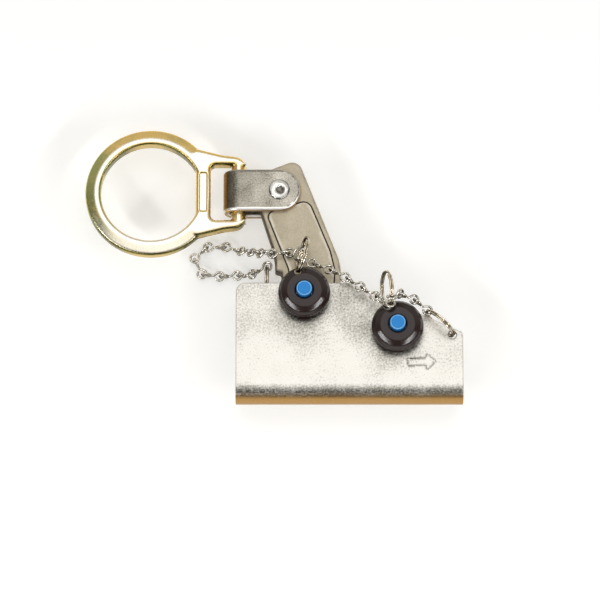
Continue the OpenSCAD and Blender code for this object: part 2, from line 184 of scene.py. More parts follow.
table_z = cad_box[0][2] / MM - table_gap
corners = [[x, y, table_z] for x, y in ((-1, -1), (1, -1), (1, 1), (-1, 1))]
table = meshed("table", np.array(corners) * [table_half, table_half, 1], [(0, 1, 2, 3)])
laminate = bpy.data.materials.new("white_laminate")
tree = emptied(laminate)
board = add(tree, "BsdfDiffuse", {"Color": colour("#ededeb")})
glow = add(tree, "Emission", {"Color": colour("#ffffff"), "Strength": 0.34})
lit = add(tree, "AddShader", {0: board, 1: glow})
ray = add(tree, "LightPath")
looked_at = add(tree, "Math", {0: ray.outputs["Is Camera Ray"], 1: ray.outputs["Is Glossy Ray"]},
                operation="MAXIMUM")
seen = add(tree, "MixShader", {0: looked_at, 1: board, 2: lit})
add(tree, "OutputMaterial", {"Surface": seen})
table.data.materials.append(laminate)

# ------------ Channel body
# One blank of 3 mm steel sheet, cut and punched flat, then bent round the wire's seat into two
# walls. Its cut edges are broken by tumbling and it is zinc plated, which leaves a pale satin
# skin with a fine grain. An arrow is pressed into the near wall to show the way of travel.

sheet_t = 3.0
bend_mid = 6.5
bend_half = math.pi / 2 * bend_mid
edge_break = 0.45
pin_hole_r, lanyard_hole_r = 4.1, 2.1
arrow_depth, arrow_line = 0.14, 0.14


def centre(node):
    """The middle of a CAD node's box, in mm."""
    low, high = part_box(node)
    return np.array((low + high) / 2) / MM


def unit(v):
    """Vectors scaled to length one."""
    return v / np.linalg.norm(v, axis=-1, keepdims=True)


def around(turn):
    """Points of the unit circle, turned from +X towards +Y."""
    return np.stack([np.cos(turn), np.sin(turn)], -1)


def rounded(corners):
    """An outline whose corners [x, y, r] become arcs of eight points: each arc's centre lies on
    the corner's bisector at r / sin(half the corner), and its points are that centre plus r
    times a turning unit vector."""
    corners = np.array(corners, float)
    outline = []
    for before, (x, y, r), after in zip(
        np.roll(corners, 1, 0)[:, :2], corners, np.roll(corners, -1, 0)[:, :2]
    ):
        p = np.array([x, y])
        if r == 0:
            outline.append(p[None])
            continue
        u, v = unit(before - p), unit(after - p)
        half = math.acos(np.clip(u @ v, -1, 1)) / 2
        middle = p + unit(u + v) * r / math.sin(half)
        start = p + u * r / math.tan(half) - middle
        sweep = -np.sign(u[0] * v[1] - u[1] * v[0]) * (math.pi - 2 * half)
        c, s = around(np.linspace(0, sweep, 8)).T
        outline.append(
            middle + np.stack([start[0] * c - start[1] * s, start[0] * s + start[1] * c], 1)
        )
    return np.concatenate(outline)


def circle(middle, r, count=40):
    """Points on a circle, anticlockwise: the middle plus r times (cos, sin)."""
    return np.asarray(middle)[:2] + r * around(np.arange(count) * 2 * math.pi / count)


def divided(outline, step):
    """The same outline with every side cut into equal lengths of at most step."""
    ends = np.roll(outline, -1, 0)
    counts = np.maximum(1, np.ceil(np.linalg.norm(ends - outline, axis=1) / step)).astype(int)
    return np.concatenate(
        [a + (b - a) * np.arange(n)[:, None] / n for a, b, n in zip(outline, ends, counts)]
    )


def inside(points, loop):
    """True for the points inside a loop: a ray along +x crosses its sides an odd number of
    times."""
    a, b = loop, np.roll(loop, -1, 0)
    x, y = points[:, :1], points[:, 1:]
    rises = (a[:, 1] > y) != (b[:, 1] > y)
    slope = (b[:, 0] - a[:, 0]) / np.where(b[:, 1] == a[:, 1], 1e-9, b[:, 1] - a[:, 1])
    return (rises & (x < a[:, 0] + slope * (y - a[:, 1]))).sum(1) % 2 == 1


def nearest(points, line):
    """Each point's distance to a closed line: to the nearest point of its nearest side."""
    a, b = line, np.roll(line, -1, 0)
    way = b - a
    share = ((points[:, None] - a) * way).sum(2) / np.maximum((way**2).sum(1), 1e-12)
    foot = a + np.clip(share, 0, 1)[..., None] * way
    return np.linalg.norm(points[:, None] - foot, axis=2).min(1)


def widened(line, out):
    """A closed line moved outwards by the same width all along."""
    way = unit(np.roll(line, -1, 0) - np.roll(line, 1, 0))
    x, y = line.T
    turn = np.sign((x * np.roll(y, -1) - y * np.roll(x, -1)).sum())
    return line + out * turn * np.stack([way[:, 1], -way[:, 0]], 1)


def blank(outline, holes, spacing, fine=(), lines=()):
    """A flat blank: its points, its triangles, and its edge loops as point numbers. The points
    are the loops' own and a staggered grid between them; fine gives boxes with a closer grid,
    and lines gives closed lines whose points are used as well."""
    loops = [outline] + [hole[::-1] for hole in holes]

    def grid(low, high, step):
        x, y = np.meshgrid(np.arange(low[0], high[0], step), np.arange(low[1], high[1], step))
        x = x + (np.arange(len(x)) % 2)[:, None] * step / 2
        return np.stack([x.ravel(), y.ravel()], 1)

    inner = grid(outline.min(0) + spacing / 2, outline.max(0), spacing)
    for low, high, step in fine:
        kept = ~((inner > low) & (inner < high)).all(1)
        inner = np.concatenate([inner[kept], grid(low, high, step)])
    keep = inside(inner, outline) & (nearest(inner, outline) > 0.55 * spacing)
    for hole in holes:
        keep &= ~inside(inner, hole) & (nearest(inner, hole) > 0.4 * spacing)
    for line in lines:
        keep &= nearest(inner, line) > 0.5 * spacing
    points = np.concatenate(loops + list(lines) + [inner[keep]])
    starts = np.cumsum([0] + [len(loop) for loop in loops])
    numbers = [np.arange(a, b) for a, b in zip(starts, starts[1:])]
    sides = [pair for n in numbers for pair in zip(n.tolist(), np.roll(n, -1).tolist())]
    made = geometry.delaunay_2d_cdt([Vector(p) for p in points], sides, [], 0, 1e-6)
    points = np.array([tuple(v) for v in made[0]])
    faces = np.array([f for f in made[2] if len(f) == 3])
    middle = points[faces].mean(1)
    keep = inside(middle, outline)
    for hole in holes:
        keep &= ~inside(middle, hole)
    faces = faces[keep]
    a, b, c = points[faces[:, 0]], points[faces[:, 1]], points[faces[:, 2]]
    area = (b[:, 0] - a[:, 0]) * (c[:, 1] - a[:, 1]) - (b[:, 1] - a[:, 1]) * (c[:, 0] - a[:, 0])
    faces[area < 0] = faces[area < 0][:, ::-1]
    return points, faces[np.abs(area) > 1e-9], numbers


def slab(flat, thick, edge, place, rows=3):
    """A blank with thickness and rounded edges. Its two faces are the blank at +-thick/2, drawn
    in by the edge radius at its loops; between them each loop is carried round a quarter circle,
    straight down and round another. place maps (flat point, height) into the object. Returned
    with the shape is each point's distance from the edge, less than nothing on its way round."""
    points, faces, loops = flat
    inward = np.zeros_like(points)
    for n in loops:
        way = unit(np.roll(points[n], -1, 0) - points[n])
        left = np.stack([-way[:, 1], way[:, 0]], 1)
        before = np.roll(left, 1, 0)
        inward[n] = (left + before) / np.maximum(1 + (left * before).sum(1), 0.3)[:, None]
    count = len(points)
    top = place(points + edge * inward, np.full(count, thick / 2))
    low = place(points + edge * inward, np.full(count, -thick / 2))
    parts, quads, total = [top, low], [], 2 * count
    depth = np.min([nearest(points, points[n]) for n in loops], axis=0)
    at_edge = [depth, depth]
    turn = np.linspace(0, math.pi / 2, rows + 1)[1:]
    for n in loops:
        ring, rim = [n], []
        steps = [(t, thick / 2 - edge * (1 - math.cos(t))) for t in turn]
        for t, height in steps + [(t, -height) for t, height in steps[::-1]]:
            inset = edge * (1 - math.sin(t))
            rim.append(place(points[n] + inset * inward[n], np.full(len(n), height)))
            at_edge.append(np.full(len(n), -edge * t))
            ring.append(np.arange(total, total + len(n)))
            total += len(n)
        ring.append(n + count)
        parts += rim
        for a, b in zip(ring, ring[1:]):
            quads.append(np.stack([a, b, np.roll(b, -1), np.roll(a, -1)], 1))
    triangles = np.concatenate([faces, faces[:, ::-1] + count])
    rim_faces = np.concatenate(quads)
    return (
        np.concatenate(parts), triangles.tolist() + rim_faces.tolist(), np.concatenate(at_edge)
    )


def mark(made, name, values):
    """Stores a number for each point of a piece, for its material to use."""
    layer = made.data.attributes.new(name, "FLOAT", "POINT")
    layer.data.foreach_set("value", np.asarray(values, np.float32))


def piece(name, shape, finish, slot, body, *stands_for, even=True):
    """Makes a mesh of a shape (points in mm, faces and, for slabs, each point's distance from
    the edge) and fixes it to a CAD body, if one is given, in place of the nodes it stands for."""
    made = meshed(name, *shape[:2])
    if len(shape) > 2:
        mark(made, "from_edge", shape[2])
    made.data.materials.append(finish)
    made.data.shade_smooth()
    if even:
        made.modifiers.new("even_shading", "WEIGHTED_NORMAL")
    if body:
        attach(made, body)
    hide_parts(*stands_for)
    return made


def metal(name):
    """A new material with a Principled shader, and its object coordinates."""
    made = bpy.data.materials.new(name)
    tree = emptied(made)
    skin = add(tree, "BsdfPrincipled", {"Metallic": 1.0})
    add(tree, "OutputMaterial", {"Surface": skin})
    return made, tree, skin, add(tree, "TexCoord").outputs["Object"]


def surface(tree, skin, tone, grain, rough, strength, height):
    """Gives a skin its colour, its roughness (one value, or a range that follows the grain) and
    the grain's relief, whose height is in mm."""
    if isinstance(rough, tuple):
        rough = add(tree, "MapRange", {0: grain, "From": (0.3, 0.7), "To": rough})
    relief = add(tree, "Bump", {"Height": grain, "Strength": strength, "Distance": height * MM})
    fill(skin, {"Base Color": tone, "Roughness": rough, "Normal": relief})


# Zinc plated and tumbled sheet: a pale satin metal with clouds of about 12 mm and a grain drawn
# at 1 mm, coarser than it is, so that it shows. It is brightest near the bend and greyer towards
# its top, with painted shade below and beside the knobs; the outside of the bend carries a painted
# dark band and, outermost, a painted gold reflection.
plated_sheet, tree, skin, here = metal("zinc_plated_sheet")
grain = add(tree, "TexNoise", {"Vector": here, "Scale": 1020, "Detail": 3, "Roughness": 0.6})
cloud = add(tree, "TexNoise", {"Vector": here, "Scale": 85, "Detail": 2})
_, y_here, _ = add(tree, "SeparateXYZ", {0: here}).outputs
# Painted shade: spots marked on the near wall below and beside the knobs darken the sheet.
knob_shade = add(tree, "Attribute", attribute_name="wear_and_painted_shade").outputs["Fac"]
# Painted shade: a dark band across the outside of the bend.
bend_shade = add(tree, "MapRange", {0: y_here, "From": (0.0012, -0.002), "To": (0, 0.36)})
painted_shading = add(tree, "Math", {0: knob_shade, 1: 0.3, 2: bend_shade}, operation="MULTIPLY_ADD")
upward = add(tree, "MapRange", {0: y_here, "From": (0.012, 0.04), "To": (0, 0.13)})
darkening = add(tree, "Math", {0: painted_shading, 1: upward}, operation="ADD")
speckle = add(tree, "Math", {0: cloud, 1: 0.3, 2: grain}, operation="MULTIPLY_ADD")
bright = add(tree, "Math", {0: speckle, 1: darkening}, operation="SUBTRACT")
tone = add(tree, "ValToRGB", {0: bright}, stops=((0.2, "#7b786d"), (0.62, "#e9e6df")))
# Painted reflection: a warm gold band on the outermost part of the bend.
bend_reflection = add(tree, "MapRange", {0: y_here, "From": (-0.0036, -0.006), "To": (0, 0.9)})
sheet_tone = add(tree, "Mix", {0: bend_reflection, 6: tone, 7: colour("#b48a4c")}, data_type="RGBA")
line = add(tree, "Attribute", attribute_name="engraved").outputs["Fac"]
sheet_tone = add(tree, "Mix", {0: line, 6: sheet_tone, 7: colour("#7f7c75")}, data_type="RGBA")
surface(tree, skin, sheet_tone, grain, (0.28, 0.42), 0.5, 0.1)

low, high = (np.array(corner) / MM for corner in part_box("channel_body"))
pin_a, pin_b, rivet = centre("pin_a_shank"), centre("pin_b_shank"), centre("shackle_rivet")
slope_foot = np.array([high[0] - 0.5, 28.8])
slope_top = np.array([low[0] + 59.5, high[1]])
wall_corners = [[high[0], 0, 0], [high[0], 26.8, 0], [*slope_foot, 0], [*slope_top, 12],
                [low[0], high[1], 5], [low[0], 0, 0]]
wall = rounded(wall_corners) + [0, bend_half]
blank_outline = divided(np.concatenate([wall, (wall * [1, -1])[::-1]]), 1.5)
corner_hole = np.array([high[0] - 5.5, 27.3])
anchor_hole = np.array([pin_a[0] - 19.6, high[1] - 5.4])
punched = [circle(at[:2] + [0, bend_half], pin_hole_r) for at in (pin_a, pin_b)]
punched += [hole[::-1] * [1, -1] for hole in punched]
punched.append(circle(corner_hole + [0, bend_half], lanyard_hole_r, 28))
punched.append(circle((anchor_hole + [0, bend_half]) * [1, -1], lanyard_hole_r, 28))
arrow_corners = [[30.0, 14.6], [30.3, 10.6], [39.7, 11.0], [40.3, 8.4], [44.9, 13.1],
                 [39.9, 17.3], [39.9, 14.9]]
arrow = divided(np.array(arrow_corners), 0.25)
arrow_lines = [widened(arrow, out) + [0, bend_half] for out in (-arrow_line, 0, arrow_line)]
arrow_room = (np.array([28.5, 7.0 + bend_half]), np.array([45.4, 18.0 + bend_half]), 0.7)


def round_the_wire(points, out):
    """Bends the flat blank: its second coordinate runs round a half circle of the sheet's middle
    radius, then straight up each wall; out is the height over the sheet's middle."""
    x, s = points[:, 0], points[:, 1]
    a = np.clip(s / bend_mid, -math.pi / 2, math.pi / 2)
    up = np.maximum(np.abs(s) - bend_half, 0)
    groove = nearest(points - [0, bend_half], arrow)
    out = out - arrow_depth * np.clip(1 - groove / arrow_line, 0, 1) ** 0.5 * (out > 0) * (s > 0)
    return np.stack([x, up - (bend_mid + out) * np.cos(a), (bend_mid + out) * np.sin(a)], 1)


sheet = blank(blank_outline, punched, 1.7, [arrow_room], arrow_lines)
channel = piece("bent_channel", slab(sheet, sheet_t, edge_break, round_the_wire), plated_sheet,
                "plate_steel", "channel", "channel_body")

points = np.array([v.co for v in channel.data.vertices]) / MM
near_wall = points[:, 2] > bend_mid
on_line = np.clip(1 - nearest(points[:, :2], arrow) / arrow_line, 0, 1)
mark(channel, "engraved", on_line * near_wall)
# Each spot of painted shade: its middle, its reach in mm and its share of the full darkening.
knob_shade_spots = [(pin_a[:2] + [-1, -12], 11, 1), (pin_b[:2] + [-4, -10], 12, 1),
                (pin_a[:2] + [19, -1], 8, 0.45), (pin_b[:2] + [-17, 1], 9, 0.5)]
wear_and_painted_shade = sum(share * np.exp(-((points[:, :2] - spot) ** 2).sum(1) / reach**2)
             for spot, reach, share in knob_shade_spots)
mark(channel, "wear_and_painted_shade", near_wall * wear_and_painted_shade)

# ------------ Cam lever
# A flat steel arm, forged with a raised panel on each face and a round cam nose at its foot,
# nickel plated over the scale. It hangs on the first pin between the walls.

lever_half, lever_edge = 4.3, 1.1
panel_out, panel_edge = 0.4, 0.5
nose_reach, nose_r = 26, 9
shade_out, shade_fade = 0.75, 0.25

# Nickel over a forged skin: warm grey, dull, with clouds of about 8 mm and pits of about 1 mm.
# Painted shade runs along the foot of each panel and along the arm's left flank, and a painted
# highlight lies on the panel's rounded edge.
forged_nickel, tree, skin, here = metal("nickel_plated_forging")
pits = add(tree, "TexNoise", {"Vector": here, "Scale": 1100, "Detail": 4, "Roughness": 0.7})
clouds = add(tree, "TexNoise", {"Vector": here, "Scale": 120, "Detail": 2})
mixed = add(tree, "Math", {0: clouds, 1: 0.5, 2: pits}, operation="MULTIPLY_ADD")
tone = add(tree, "ValToRGB", {0: mixed}, stops=((0.5, "#b3a891"), (1.0, "#dad0bb")))
# Painted shade along the panel's foot and the left flank, and a painted highlight on the panel's
# edge.
painted_shade = add(tree, "Attribute", attribute_name="painted_shade_mask").outputs["Fac"]
painted_highlight = add(tree, "Attribute", attribute_name="painted_highlight").outputs["Fac"]
tone = add(tree, "Mix", {0: painted_highlight, 6: tone, 7: colour("#eee6d6")}, data_type="RGBA")
shaded_tone = add(tree, "Mix", {0: painted_shade, 6: tone, 7: colour("#2a241c")}, data_type="RGBA")
surface(tree, skin, shaded_tone, pits, (0.42, 0.6), 0.35, 0.08)


def flat_place(points, height):
    """Stands a flat point at its own height over the XY plane."""
    return np.column_stack([points, height])


def joined(*shapes):
    """Several shapes as one list of points and faces."""
    points, faces, start = [], [], 0
    for shape in shapes:
        points.append(shape[0])
        faces += [[i + start for i in face] for face in shape[1]]
        start += len(shape[0])
    return np.concatenate(points), faces


nose = pin_a[:2] + nose_reach * around(math.radians(250))
nose_arc = nose + nose_r * around(np.radians(np.linspace(168, 322, 18)))
lever_left = [[-49.5, 105, 9], [-46.5, 96, 20], [-40.2, 76, 20], [-38.6, 68, 10], [-38.6, 63, 1],
              [-35.3, 62, 1.5], [-35.3, 44, 12]]
lever_right = [[-6.5, 36, 12], [-4.2, 45, 16], [-4.2, 66.8, 30], [-26.6, 124.3, 5.5],
               [-44, 117.5, 9]]
lever_corners = lever_left + [[x, y, 0] for x, y in nose_arc] + lever_right
lever_outline = divided(rounded(lever_corners), 1.6)
panel_corners = [[-31, 63, 12], [-31, 44, 10], [-26, 33, 4], [-8.6, 50, 10], [-7.6, 63, 8],
                 [-10, 73.5, 20], [-21.3, 101.5, 4.5], [-42.9, 94.2, 3]]
panel_outline = divided(rounded(panel_corners), 1.2)
pin_hole = circle(pin_a, pin_hole_r)

foot_lines = [widened(panel_outline, out)
              for out in (-0.1, 0.15, shade_out - shade_fade, shade_out)]
lever_holes = [pin_hole, circle(rivet, pin_hole_r)]
arm_blank = blank(lever_outline, lever_holes, 1.5, lines=foot_lines)
arm = slab(arm_blank, 2 * lever_half, lever_edge, flat_place, rows=4)
panel_blank = blank(panel_outline, [pin_hole], 1.6)
panel = slab(panel_blank, 2 * (lever_half + panel_out), panel_edge, flat_place)
(lever_points, _, arm_depth), panel_depth = arm, panel[2]
from_panel = nearest(lever_points[:, :2], panel_outline)
# Painted shade: a dark line round the panel's foot, and along the arm's left flank.
painted_shade_mask = np.clip((shade_out - from_panel) / shade_fade, 0, 1)
from_flank = nearest(lever_points[:, :2], rounded([[x, y, 0] for x, y, _ in lever_left]))
painted_shade_mask = np.maximum(painted_shade_mask, 0.8 * np.clip(1.5 - from_flank, 0, 1) * (arm_depth < 0.3))
lever_shape = (*joined(arm, panel), np.concatenate([arm_depth, panel_depth]))
lever = piece("forged_lever", lever_shape, forged_nickel, "lever_steel", "lever", "cam_lever")
mark(lever, "painted_shade_mask", np.concatenate([painted_shade_mask, 0 * panel_depth]))
# Painted highlight: the panel's rounded edge is marked paler.
mark(lever, "painted_highlight", np.concatenate([0 * painted_shade_mask, np.clip(0.8 - panel_depth, 0, 1)]))

# ------------ Cable shoe
# A forged block hung on the second pin, with a groove along its foot that grips the wire. It
# stays the CAD's own solid, in dark oiled steel.

# Oiled black scale: dark and uneven, with clouds of about 5 mm and bright rubbed spots.
oiled_steel, tree, skin, here = metal("oiled_forged_steel")
scale = add(tree, "TexNoise", {"Vector": here, "Scale": 220, "Detail": 5})
tone = add(tree, "ValToRGB", {0: scale}, stops=((0.35, "#6f6b64"), (0.7, "#a29d94")))
surface(tree, skin, tone, scale, 0.46, 0.3, 0.2)


def refinish(finish, *names):
    """Gives CAD nodes a finish in all their material slots."""
    for name in names:
        for held_slot in nodes[name].material_slots:
            held_slot.material = finish


refinish(oiled_steel, "cable_shoe")

# ------------ Shackle
# A strap of 3 mm flat bar with round ends, folded round the bar of the connecting ring and
# riveted through the lever's head. It is brown along its rounded edges.

strap_half, strap_edge, strap_hole_r = 11.4, 1.45, 4.0

# Zinc on hot rolled bar: grey, with clouds of about 9 mm and a grain drawn at 0.7 mm, so that
# it shows. Painted shade darkens it towards the fold, with a painted gold reflection on the fold's
# edge; a painted highlight runs along the edges of its flat faces, most on the side towards the
# channel, and its rounded edge walls are brown.
strap_zinc, tree, skin, here = metal("zinc_strap_painted_shading")
grain = add(tree, "TexNoise", {"Vector": here, "Scale": 1500, "Detail": 4, "Roughness": 0.7})
clouds = add(tree, "TexNoise", {"Vector": here, "Scale": 110, "Detail": 2})
mixed = add(tree, "Math", {0: clouds, 1: 0.4, 2: grain}, operation="MULTIPLY_ADD")
tone = add(tree, "ValToRGB", {0: mixed}, stops=((0.5, "#7d776b"), (0.88, "#ffffff")))
fold_out = bend_mid + sheet_t / 2
bar_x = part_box("shackle_strap")[0][0] / MM + fold_out
x_here, y_here, _ = add(tree, "SeparateXYZ", {0: here}).outputs
# Painted shade darkening towards the fold, with a painted gold reflection on the fold's edge.
along = add(tree, "MapRange", {0: x_here, "From": ((bar_x - fold_out) * MM, (bar_x + 22) * MM)})
fold_shading_stops = [(0, "#a5803f"), (0.05, "#dcb068"), (0.07, "#857d6e"), (0.2, "#aca79a"),
              (0.3, "#c8c4b8"), (1, "#e2ded2")]
fold_shading = add(tree, "ValToRGB", {0: along}, stops=fold_shading_stops)
painted_shading = add(tree, "Mix", {0: 1.0, 6: fold_shading, 7: tone}, data_type="RGBA", blend_type="MULTIPLY")
rim = add(tree, "Attribute", attribute_name="from_edge").outputs["Fac"]
# Painted highlight: a near-white band on the flat faces along the edges, strongest on the side
# towards the channel; then brown on the rounded edge walls.
low_side = add(tree, "MapRange", {0: y_here, "From": ((rivet[1] + 3) * MM, (rivet[1] - 7) * MM),
                                  "To": (0.25, 0.95)})
for start, end, share, code in ((1.3, 0.6, low_side, "#fffdf8"), (-0.9, -1.5, 0.85, "#b08a52")):
    part = add(tree, "MapRange", {0: rim, "From": (start, end), "To": (0, share)})
    painted_shading = add(tree, "Mix", {0: part, 6: painted_shading, 7: colour(code)}, data_type="RGBA")
surface(tree, skin, painted_shading, grain, (0.28, 0.46), 0.4, 0.08)

end_x = rivet[0] - bar_x + bend_half
strap_end = [end_x, 0] + strap_half * around(np.linspace(-math.pi / 2, math.pi / 2, 33))
strap_outline = divided(np.concatenate([strap_end, -strap_end]), 1.5)
strap_holes = [circle([x, 0], strap_hole_r, 36) for x in (end_x, -end_x)]
strap_blank = blank(strap_outline, strap_holes, 1.5)


def round_the_bar(points, out):
    """Folds the flat strap: its first coordinate runs round a half circle about the ring's bar,
    then straight along each leg; out is the height over the strap's middle."""
    s, y = points[:, 0], points[:, 1]
    a = np.clip(s / bend_mid, -math.pi / 2, math.pi / 2)
    along = np.maximum(np.abs(s) - bend_half, 0)
    x = bar_x + along - (bend_mid + out) * np.cos(a)
    return np.stack([x, rivet[1] + y, (bend_mid + out) * np.sin(a)], 1)


piece("folded_strap", slab(strap_blank, sheet_t, strap_edge, round_the_bar, rows=5),
      strap_zinc, "strap_steel", "shackle", "shackle_strap")


def lathe(middle, profile, count=96, closed=False):
    """A profile of (radius, z) turned about the Z axis through middle: each point becomes a ring
    of count points, or one point on the axis; a closed profile also joins its last ring to its
    first. The profile runs with the material on its left."""
    spokes = around(np.arange(count) * 2 * math.pi / count)
    points, rings = [], []
    for r, z in profile:
        size = count if r > 1e-6 else 1
        start = sum(len(p) for p in points)
        points.append(np.column_stack([r * spokes[:size], np.full(size, z)]))
        rings.append(np.arange(start, start + size))
    faces = []
    for a, b in zip(rings, rings[1:] + ([rings[0]] if closed else [])):
        if len(a) == 1 and len(b) == 1:
            continue
        wide = max(len(a), len(b))
        a1, b1 = np.resize(a, wide), np.resize(b, wide)
        quads = np.stack([a1, np.roll(a1, -1), np.roll(b1, -1), b1], 1)
        if len(a) == 1:
            quads = quads[:, [0, 2, 3]]
        if len(b) == 1:
            quads = quads[:, [0, 1, 2]]
        faces += quads.tolist()
    return np.concatenate(points) + [middle[0], middle[1], 0], faces


def softened(profile, r):
    """A profile with each inner corner drawn as a short quadratic curve of four points, which
    starts and ends r before and after it."""
    profile = np.array(profile, float)
    out = [profile[:1]]
    for a, p, b in zip(profile, profile[1:], profile[2:]):
        u, v = a - p, b - p
        k = min(r, np.linalg.norm(u) * 0.45, np.linalg.norm(v) * 0.45)
        start, end = p + unit(u) * k, p + unit(v) * k
        t = np.linspace(0, 1, 4)[:, None]
        out.append((1 - t) ** 2 * start + 2 * t * (1 - t) * p + t**2 * end)
    return np.concatenate(out + [profile[-1:]])


def worked(shape, *steps):
    """A shape after some of Blender's modifiers. A step is ("BOOLEAN", operation, other shape),
    ("REMESH", voxel size in mm) or ("SMOOTH", times)."""
    whole, others = meshed("loose", *shape[:2]), []
    for kind, *how in steps:
        modifier = whole.modifiers.new(kind, kind)
        if kind == "BOOLEAN":
            others.append(meshed("loose", *how[1][:2]))
            modifier.operation, modifier.solver, modifier.object = how[0], "EXACT", others[-1]
        elif kind == "REMESH":
            modifier.mode, modifier.voxel_size = "VOXEL", how[0] * MM
        else:
            modifier.factor, modifier.iterations = 0.5, how[0]
    made = whole.evaluated_get(bpy.context.evaluated_depsgraph_get()).to_mesh()
    points = np.zeros(len(made.vertices) * 3)
    made.vertices.foreach_get("co", points)
    faces = [list(face.vertices) for face in made.polygons]
    for spent in [whole] + others:
        bpy.data.objects.remove(spent)
    return points.reshape(-1, 3) / MM, faces


# Bright zinc on a swaged rivet: nearly white, with fine turning marks from the swaging tool and
# painted shade in its hole and round its foot.
bright_zinc, tree, skin, here = metal("bright_swaged_zinc")
marks = add(tree, "TexNoise", {"Vector": here, "Scale": 900, "Detail": 3})
tone = add(tree, "ValToRGB", {0: marks}, stops=((0, "#dfdcd5"), (1, "#fffefa")))
rivet_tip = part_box("shackle_rivet")[1][2] / MM
_, _, height = add(tree, "SeparateXYZ", {0: here}).outputs
depth = add(tree, "Math", {0: height}, operation="ABSOLUTE")
# Painted shade: darker wherever the rivet lies deeper than its head's top, in the hole and round
# the foot.
shadowed = add(tree, "MapRange", {0: depth,
                                  "From": ((rivet_tip - 0.5) * MM, (rivet_tip - 1.1) * MM),
                                  "To": (0, 0.85)})
hole_shaded = add(tree, "Mix", {0: shadowed, 6: tone, 7: colour("#4a443a")}, data_type="RGBA")
surface(tree, skin, hole_shaded, marks, 0.25, 0.5, 0.1)

rivet_half = [[4.0, 0], [4.0, fold_out], [5.5, fold_out], [5.5, fold_out + 0.4],
              [4.9, rivet_tip - 0.3], [3.1, rivet_tip], [2.1, rivet_tip - 0.25],
              [1.5, rivet_tip - 1.3], [0, rivet_tip - 1.4]]
rivet_profile = softened([[r, -z] for r, z in rivet_half[:0:-1]] + rivet_half[1:], 0.4)
swaged_points, swaged_faces = lathe(rivet, rivet_profile)
# The lip is rolled over unevenly: lower on one side, in three waves, with its hole off centre.
x, y = (swaged_points[:, :2] - rivet[:2]).T
radius, turn, tall = np.hypot(x, y), np.arctan2(y, x), swaged_points[:, 2]
lip = np.clip((np.abs(tall) - fold_out - 0.3) / 0.4, 0, 1)
dip = 0.2 * (1 - np.cos(turn - 2.3)) + 0.1 * (1 - np.cos(3 * turn))
swaged_points[:, 2] -= np.sign(tall) * lip * dip * np.clip(radius / 2, 0, 1)
swaged_points[:, :2] += (lip * np.clip(1 - radius / 4.6, 0, 1))[:, None] * [0.7, -0.6]
piece("swaged_rivet", (swaged_points, swaged_faces), bright_zinc, "rivet_steel", "shackle",
      "shackle_rivet")

# ------------ Connecting ring
# One drop forging: a round-edged ring, a web across it, two arms and the round bar that the
# strap folds about. It is zinc plated and yellow passivated, greenish where the film is thick.

ring_middle = -46.0
ring_out, ring_in, rim_half = 34.5, 26.3, 2.9
ridge_r, ridge_half = ring_in + 3.2, 4.2
slot_half, slot_end, slot_r, web_end = 15.0, -14.7, 2.6, -22.3
neck_tip, arm_end, bar_r = 3.9, slot_half + 4.2, 4.0
neck_thick, neck_edge, web_sunk = 8.3, 1.8, 0.5
forging_grid = 0.42

# Yellow passivated zinc: gold on the slopes, green where the film is thick at the ring's far
# end and pale on the side that drained; a painted reflection turns the flat faces pale, and
# painted shade lies in dark olive on the edges that face -Y. Under it is a forged skin with pits
# of about 1 mm.
yellow_zinc, tree, skin, here = metal("yellow_zinc_forging")
film = add(tree, "TexNoise", {"Vector": here, "Scale": 60, "Detail": 8, "Roughness": 0.78})
pits = add(tree, "TexNoise", {"Vector": here, "Scale": 1000, "Detail": 3})
x_here, y_here, _ = add(tree, "SeparateXYZ", {0: here}).outputs
thick = add(tree, "MapRange", {0: x_here, "From": (-0.119, -0.135), "To": (0, 0.3)})
thin = add(tree, "Math", {0: film, 1: thick}, operation="SUBTRACT")
tone = add(tree, "ValToRGB", {0: thin}, stops=((0.25, "#b4b677"), (0.5, "#fbd888")))
facing = add(tree, "TexCoord").outputs["Normal"]
_, y_way, z_way = add(tree, "SeparateXYZ", {0: facing}).outputs
flatness = add(tree, "Math", {0: z_way}, operation="ABSOLUTE")
# Painted reflection: faces that lie flat are mixed towards pale.
painted_flat_sheen = add(tree, "MapRange", {0: flatness, "From": (0.976, 0.993)},
               interpolation_type="SMOOTHSTEP")
drained = add(tree, "MapRange", {0: y_here, "From": (0.1, 0.075), "To": (0, 0.85)},
              interpolation_type="SMOOTHSTEP")
open_side = add(tree, "MapRange", {0: flatness, "From": (0.3, 0.6)})
washed = add(tree, "Math", {0: drained, 1: open_side}, operation="MULTIPLY")
pale = add(tree, "Math", {0: painted_flat_sheen, 1: washed}, operation="MAXIMUM")
tone = add(tree, "Mix", {0: pale, 6: tone, 7: colour("#fbf7ea")}, data_type="RGBA")
# Painted shade: dark olive on the edges that face -Y.
edge_on = add(tree, "MapRange", {0: y_way, "From": (-0.27, -0.5)})
below = add(tree, "MapRange", {0: y_way, "From": (-0.98, -0.85), "To": (0.4, 1)})
painted_edge_shade = add(tree, "Math", {0: edge_on, 1: below}, operation="MULTIPLY")
tone = add(tree, "Mix", {0: painted_edge_shade, 6: tone, 7: colour("#706a38")}, data_type="RGBA")
surface(tree, skin, tone, pits, (0.2, 0.34), 0.06, 0.08)


